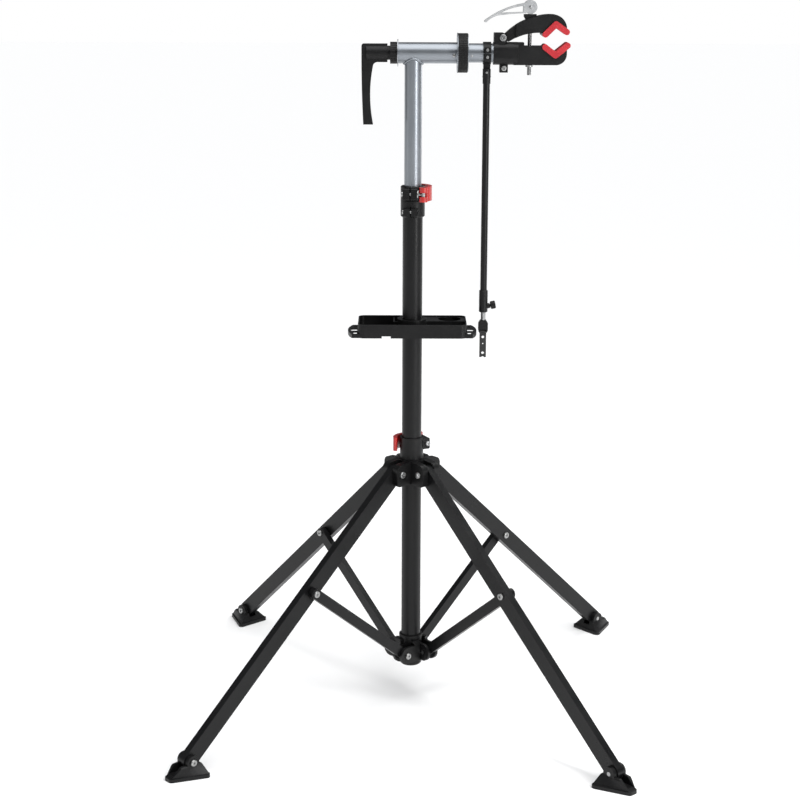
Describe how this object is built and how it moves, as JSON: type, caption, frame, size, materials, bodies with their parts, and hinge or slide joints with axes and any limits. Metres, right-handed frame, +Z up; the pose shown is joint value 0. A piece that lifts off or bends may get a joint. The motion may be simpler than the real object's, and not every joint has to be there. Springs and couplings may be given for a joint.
{
  "type": "bicycle repair stand",
  "caption": "Folding work stand that holds a bicycle: splayed legs with struts on a sliding hub, telescopic post, tool tray, turning clamp with padded jaws and a handlebar holder rod.",
  "frame": {"origin": "on the floor under the mast's axis", "axes": "+Z up along the mast, +X towards the open end of the jaws, -Y towards the front"},
  "size_m": [0.8928, 0.8928, 1.3722],
  "materials": {
    "black_paint": "black powder coat with a fine orange-peel",
    "silver_paint": "satin silver paint",
    "black_plastic": "moulded black nylon",
    "red_plastic": "moulded red nylon",
    "red_rubber": "soft red rubber",
    "black_rubber": "soft black rubber",
    "zinc_steel": "zinc-plated steel",
    "grey_aluminium": "cast aluminium with a dull grey finish"
  },
  "bodies": {
    "mast": {"mast_tube": "black_paint", "mast_top_bush": "black_plastic", "base_hub": "black_plastic", "strut_pivot_bolts": "zinc_steel", "lock_collar": "black_plastic", "lock_collar_bolts": "zinc_steel"},
    "leg_slider": {"leg_hub": "black_plastic", "leg_hub_bolts": "zinc_steel"},
    "mast_lock": {"lock_lever": "red_plastic"},
    "hub_lock": {"hub_lever": "red_plastic"},
    "tray_ring": {"tray_bush": "black_plastic"},
    "tool_tray": {"tray": "black_plastic", "tray_screw": "zinc_steel"},
    "post_guide": {"post_end_plug": "black_plastic"},
    "post": {"post_tube": "silver_paint", "tee_tube": "silver_paint", "fixed_index_disc": "black_plastic"},
    "handle": {"handle_arm": "black_plastic", "handle_collar": "black_plastic", "draw_rod": "zinc_steel"},
    "clamp": {"clamp_shaft": "silver_paint", "turning_index_disc": "black_plastic", "lower_jaw": "black_plastic", "lower_pad": "red_rubber", "lower_jaw_bolts": "zinc_steel", "stud_nut": "zinc_steel"},
    "moving_jaw": {"upper_jaw": "black_plastic", "upper_pad": "red_rubber"},
    "stud": {"clamp_stud": "zinc_steel", "stud_collar": "black_plastic"},
    "cam": {"cam_lever": "grey_aluminium"},
    "holder": {"holder_collar": "black_plastic", "holder_screws": "zinc_steel"},
    "holder_rod": {"rod_knuckle": "black_plastic", "rod_tube": "black_paint", "rod_sleeve": "black_plastic"},
    "knob": {"rod_knob": "black_plastic"},
    "holder_inner_rod": {"rod_inner": "zinc_steel", "cradle_head": "black_plastic"},
    "strap": {"cradle_strap": "black_rubber"},
    "leg_back_right": {"leg_back_right": "black_paint", "leg_bolts_back_right": "zinc_steel"},
    "strut_back_right": {"strut_back_right": "black_paint", "strut_bolt_back_right": "zinc_steel"},
    "foot_back_right": {"foot_back_right": "black_plastic"},
    "leg_back_left": {"leg_back_left": "black_paint", "leg_bolts_back_left": "zinc_steel"},
    "strut_back_left": {"strut_back_left": "black_paint", "strut_bolt_back_left": "zinc_steel"},
    "foot_back_left": {"foot_back_left": "black_plastic"},
    "leg_front_left": {"leg_front_left": "black_paint", "leg_bolts_front_left": "zinc_steel"},
    "strut_front_left": {"strut_front_left": "black_paint", "strut_bolt_front_left": "zinc_steel"},
    "foot_front_left": {"foot_front_left": "black_plastic"},
    "leg_front_right": {"leg_front_right": "black_paint", "leg_bolts_front_right": "zinc_steel"},
    "strut_front_right": {"strut_front_right": "black_paint", "strut_bolt_front_right": "zinc_steel"},
    "foot_front_right": {"foot_front_right": "black_plastic"}
  },
  "joints": [
    {"name": "hub_slide", "type": "slide", "parent": "mast", "child": "leg_slider", "axis": [0, 0, 1], "range_m": [0, 0.2]},
    {"name": "leg_hinge_back_right", "type": "hinge", "parent": "leg_slider", "child": "leg_back_right", "pos_m": [0.032, 0.02872, 0.4755], "axis": [-0.6678, 0.7443, 0], "range_deg": [0, 45]},
    {"name": "strut_hinge_back_right", "type": "hinge", "parent": "mast", "child": "strut_back_right", "pos_m": [0.02419, 0.0217, 0.0995], "axis": [-0.6678, 0.7443, 0], "range_deg": [-46, 0]},
    {"name": "foot_hinge_back_right", "type": "hinge", "parent": "leg_back_right", "child": "foot_back_right", "pos_m": [0.40639, 0.36464, 0.028], "axis": [0.6678, -0.7443, 0], "range_deg": [-12, 50]},
    {"name": "leg_hinge_back_left", "type": "hinge", "parent": "leg_slider", "child": "leg_back_left", "pos_m": [-0.02872, 0.032, 0.4755], "axis": [-0.7443, -0.6678, 0], "range_deg": [0, 45]},
    {"name": "strut_hinge_back_left", "type": "hinge", "parent": "mast", "child": "strut_back_left", "pos_m": [-0.0217, 0.02419, 0.0995], "axis": [-0.7443, -0.6678, 0], "range_deg": [-46, 0]},
    {"name": "foot_hinge_back_left", "type": "hinge", "parent": "leg_back_left", "child": "foot_back_left", "pos_m": [-0.36464, 0.40639, 0.028], "axis": [0.7443, 0.6678, 0], "range_deg": [-12, 50]},
    {"name": "leg_hinge_front_left", "type": "hinge", "parent": "leg_slider", "child": "leg_front_left", "pos_m": [-0.032, -0.02872, 0.4755], "axis": [0.6678, -0.7443, 0], "range_deg": [0, 45]},
    {"name": "strut_hinge_front_left", "type": "hinge", "parent": "mast", "child": "strut_front_left", "pos_m": [-0.02419, -0.0217, 0.0995], "axis": [0.6678, -0.7443, 0], "range_deg": [-46, 0]},
    {"name": "foot_hinge_front_left", "type": "hinge", "parent": "leg_front_left", "child": "foot_front_left", "pos_m": [-0.40639, -0.36464, 0.028], "axis": [-0.6678, 0.7443, 0], "range_deg": [-12, 50]},
    {"name": "leg_hinge_front_right", "type": "hinge", "parent": "leg_slider", "child": "leg_front_right", "pos_m": [0.02872, -0.032, 0.4755], "axis": [0.7443, 0.6678, 0], "range_deg": [0, 45]},
    {"name": "strut_hinge_front_right", "type": "hinge", "parent": "mast", "child": "strut_front_right", "pos_m": [0.0217, -0.02419, 0.0995], "axis": [0.7443, 0.6678, 0], "range_deg": [-46, 0]},
    {"name": "foot_hinge_front_right", "type": "hinge", "parent": "leg_front_right", "child": "foot_front_right", "pos_m": [0.36464, -0.40639, 0.028], "axis": [-0.7443, -0.6678, 0], "range_deg": [-12, 50]},
    {"name": "mast_lock_lever", "type": "hinge", "parent": "mast", "child": "mast_lock", "pos_m": [0.01947, -0.03118, 1.017], "axis": [0, 0, -1], "range_deg": [0, 110]},
    {"name": "hub_lock_lever", "type": "hinge", "parent": "leg_slider", "child": "hub_lock", "pos_m": [0.01402, 0.03399, 0.527], "axis": [0, 0, -1], "range_deg": [0, 110]},
    {"name": "tray_height", "type": "slide", "parent": "mast", "child": "tray_ring", "axis": [0, 0, 1], "range_m": [0, 0.12]},
    {"name": "tray_turn", "type": "hinge", "parent": "tray_ring", "child": "tool_tray", "pos_m": [0, 0, 0.759], "axis": [0, 0, 1], "continuous": true},
    {"name": "post_height", "type": "slide", "parent": "mast", "child": "post_guide", "axis": [0, 0, 1], "range_m": [-0.2, 0.25]},
    {"name": "post_turn", "type": "hinge", "parent": "post_guide", "child": "post", "pos_m": [0, 0, 0.64], "axis": [0, 0, 1], "continuous": true},
    {"name": "handle_turn", "type": "hinge", "parent": "post", "child": "handle", "pos_m": [-0.06, 0, 1.276], "axis": [1, 0, 0], "continuous": true},
    {"name": "head_turn", "type": "hinge", "parent": "post", "child": "clamp", "pos_m": [0.06, 0, 1.276], "axis": [1, 0, 0], "continuous": true},
    {"name": "jaw_open", "type": "hinge", "parent": "clamp", "child": "moving_jaw", "pos_m": [0.1645, 0, 1.3045], "axis": [0, -1, 0], "range_deg": [0, 12]},
    {"name": "stud_lift", "type": "slide", "parent": "clamp", "child": "stud", "axis": [0, 0, 1], "range_m": [0, 0.0212]},
    {"name": "cam_open", "type": "hinge", "parent": "stud", "child": "cam", "pos_m": [0.2145, 0, 1.3596], "axis": [0, 1, 0], "range_deg": [0, 150]},
    {"name": "holder_turn", "type": "hinge", "parent": "clamp", "child": "holder", "pos_m": [0.136, 0, 1.276], "axis": [1, 0, 0], "range_deg": [-60, 60]},
    {"name": "rod_swing", "type": "hinge", "parent": "holder", "child": "holder_rod", "pos_m": [0.136, 0, 1.2405], "axis": [0, -1, 0], "range_deg": [0, 65]},
    {"name": "rod_extend", "type": "slide", "parent": "holder_rod", "child": "holder_inner_rod", "axis": [0, 0, -1], "range_m": [0, 0.18]},
    {"name": "knob_turn", "type": "hinge", "parent": "holder_rod", "child": "knob", "pos_m": [0.136, 0, 0.7985], "axis": [0.9781, 0, 0.2079], "continuous": true},
    {"name": "strap_swing", "type": "hinge", "parent": "holder_inner_rod", "child": "strap", "pos_m": [0.136, 0, 0.751], "axis": [1, 0, 0], "range_deg": [-80, 80]}
  ],
  "couplings": [
    {"joint": "leg_hinge_back_right", "follows": "hub_slide", "rad_per_m": 3.6539},
    {"joint": "strut_hinge_back_right", "follows": "hub_slide", "rad_per_m": -3.7069},
    {"joint": "leg_hinge_back_left", "follows": "hub_slide", "rad_per_m": 3.6539},
    {"joint": "strut_hinge_back_left", "follows": "hub_slide", "rad_per_m": -3.7069},
    {"joint": "leg_hinge_front_left", "follows": "hub_slide", "rad_per_m": 3.6539},
    {"joint": "strut_hinge_front_left", "follows": "hub_slide", "rad_per_m": -3.7069},
    {"joint": "leg_hinge_front_right", "follows": "hub_slide", "rad_per_m": 3.6539},
    {"joint": "strut_hinge_front_right", "follows": "hub_slide", "rad_per_m": -3.7069},
    {"joint": "stud_lift", "follows": "jaw_open", "m_per_rad": 0.10027}
  ]
}
